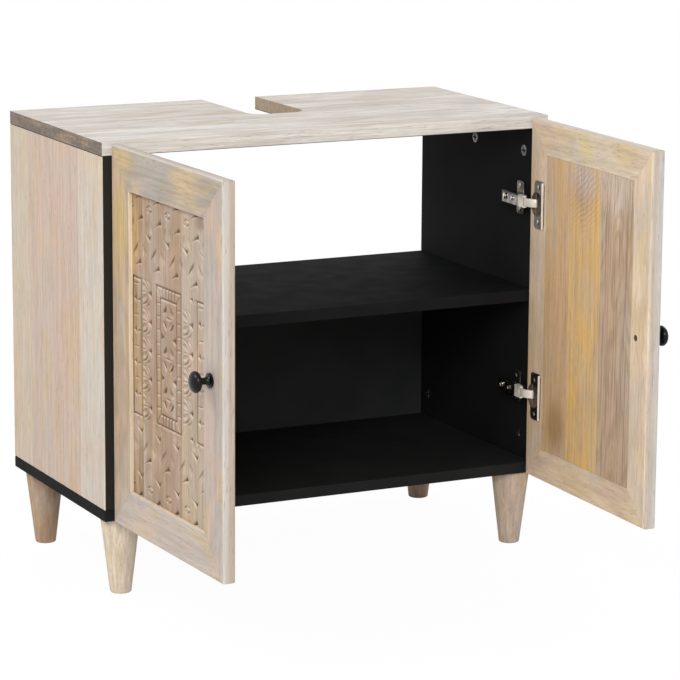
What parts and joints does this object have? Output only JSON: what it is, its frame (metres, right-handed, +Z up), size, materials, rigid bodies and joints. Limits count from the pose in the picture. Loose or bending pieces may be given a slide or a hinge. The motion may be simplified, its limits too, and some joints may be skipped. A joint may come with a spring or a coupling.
{
  "type": "under-basin bathroom cabinet",
  "caption": "Free-standing under-basin cabinet on turned legs, with framed carved doors on concealed hinges, a fixed shelf and a pipe notch in the top.",
  "frame": {"origin": "on the floor under the middle of the cabinet's box with both doors standing open", "axes": "+X to the right across the front, +Y from the front to the back, +Z up"},
  "size_m": [0.6686, 0.6577, 0.6],
  "materials": {
    "whitewashed_wood": "whitewashed, matt",
    "natural_wood": "waxed, matt",
    "door_wood": "waxed, matt",
    "panel_wood": "carved, matt",
    "leg_wood": "turned, matt",
    "black_lacquer": "black lacquer, satin",
    "nickel": "nickel-plated",
    "zinc_plate": "zinc-plated",
    "black_enamel": "gloss black enamel"
  },
  "bodies": {
    "carcass": {"top_board": "whitewashed_wood", "bottom_board": "black_lacquer", "left_side_panel": "natural_wood", "right_side_panel": "natural_wood", "shelf": "black_lacquer", "back_panel": "black_lacquer", "front_left_leg": "leg_wood", "front_right_leg": "leg_wood", "rear_left_leg": "leg_wood", "rear_right_leg": "leg_wood", "front_left_leg_bolt": "zinc_plate", "front_right_leg_bolt": "zinc_plate", "rear_left_leg_bolt": "zinc_plate", "rear_right_leg_bolt": "zinc_plate", "left_top_front_cam_nut": "zinc_plate", "left_top_front_cam_bolt": "zinc_plate", "left_top_rear_cam_nut": "zinc_plate", "left_top_rear_cam_bolt": "zinc_plate", "left_bottom_front_cam_nut": "zinc_plate", "left_bottom_front_cam_bolt": "zinc_plate", "left_bottom_rear_cam_nut": "zinc_plate", "left_bottom_rear_cam_bolt": "zinc_plate", "right_top_front_cam_nut": "zinc_plate", "right_top_front_cam_bolt": "zinc_plate", "right_top_rear_cam_nut": "zinc_plate", "right_top_rear_cam_bolt": "zinc_plate", "right_bottom_front_cam_nut": "zinc_plate", "right_bottom_front_cam_bolt": "zinc_plate", "right_bottom_rear_cam_nut": "zinc_plate", "right_bottom_rear_cam_bolt": "zinc_plate", "left_upper_hinge_plate": "nickel", "left_upper_hinge_arm": "nickel", "left_lower_hinge_plate": "nickel", "left_lower_hinge_arm": "nickel", "right_upper_hinge_plate": "nickel", "right_upper_hinge_arm": "nickel", "right_lower_hinge_plate": "nickel", "right_lower_hinge_arm": "nickel"},
    "left_hinge_links": {"left_upper_hinge_link": "nickel", "left_lower_hinge_link": "nickel"},
    "left_door": {"left_door_hinge_stile": "door_wood", "left_door_free_stile": "door_wood", "left_door_top_rail": "door_wood", "left_door_bottom_rail": "door_wood", "left_door_panel": "panel_wood", "left_upper_hinge_cup": "nickel", "left_lower_hinge_cup": "nickel", "left_knob": "black_enamel", "left_knob_screw": "zinc_plate"},
    "right_hinge_links": {"right_upper_hinge_link": "nickel", "right_lower_hinge_link": "nickel"},
    "right_door": {"right_door_hinge_stile": "door_wood", "right_door_free_stile": "door_wood", "right_door_top_rail": "door_wood", "right_door_bottom_rail": "door_wood", "right_door_panel": "panel_wood", "right_upper_hinge_cup": "nickel", "right_lower_hinge_cup": "nickel", "right_knob": "black_enamel", "right_knob_screw": "zinc_plate"}
  },
  "joints": [
    {"name": "left_link_swing", "type": "hinge", "parent": "carcass", "child": "left_hinge_links", "pos_m": [-0.2915, 0.00011, 0.35], "axis": [0, 0, 1], "range_deg": [-54.2, 4.1]},
    {"name": "left_door_swing", "type": "hinge", "parent": "left_hinge_links", "child": "left_door", "pos_m": [-0.29828, -0.01905, 0.35], "axis": [0, 0, -1], "range_deg": [-142.58, 10.47]},
    {"name": "right_link_swing", "type": "hinge", "parent": "carcass", "child": "right_hinge_links", "pos_m": [0.2915, 0.00011, 0.35], "axis": [0, 0, -1], "range_deg": [-54.2, 4.1]},
    {"name": "right_door_swing", "type": "hinge", "parent": "right_hinge_links", "child": "right_door", "pos_m": [0.29828, -0.01905, 0.35], "axis": [0, 0, 1], "range_deg": [-142.58, 10.47]}
  ],
  "couplings": [
    {"joint": "left_link_swing", "follows": "left_door_swing", "ratio": 0.37931},
    {"joint": "right_link_swing", "follows": "right_door_swing", "ratio": 0.37931}
  ]
}
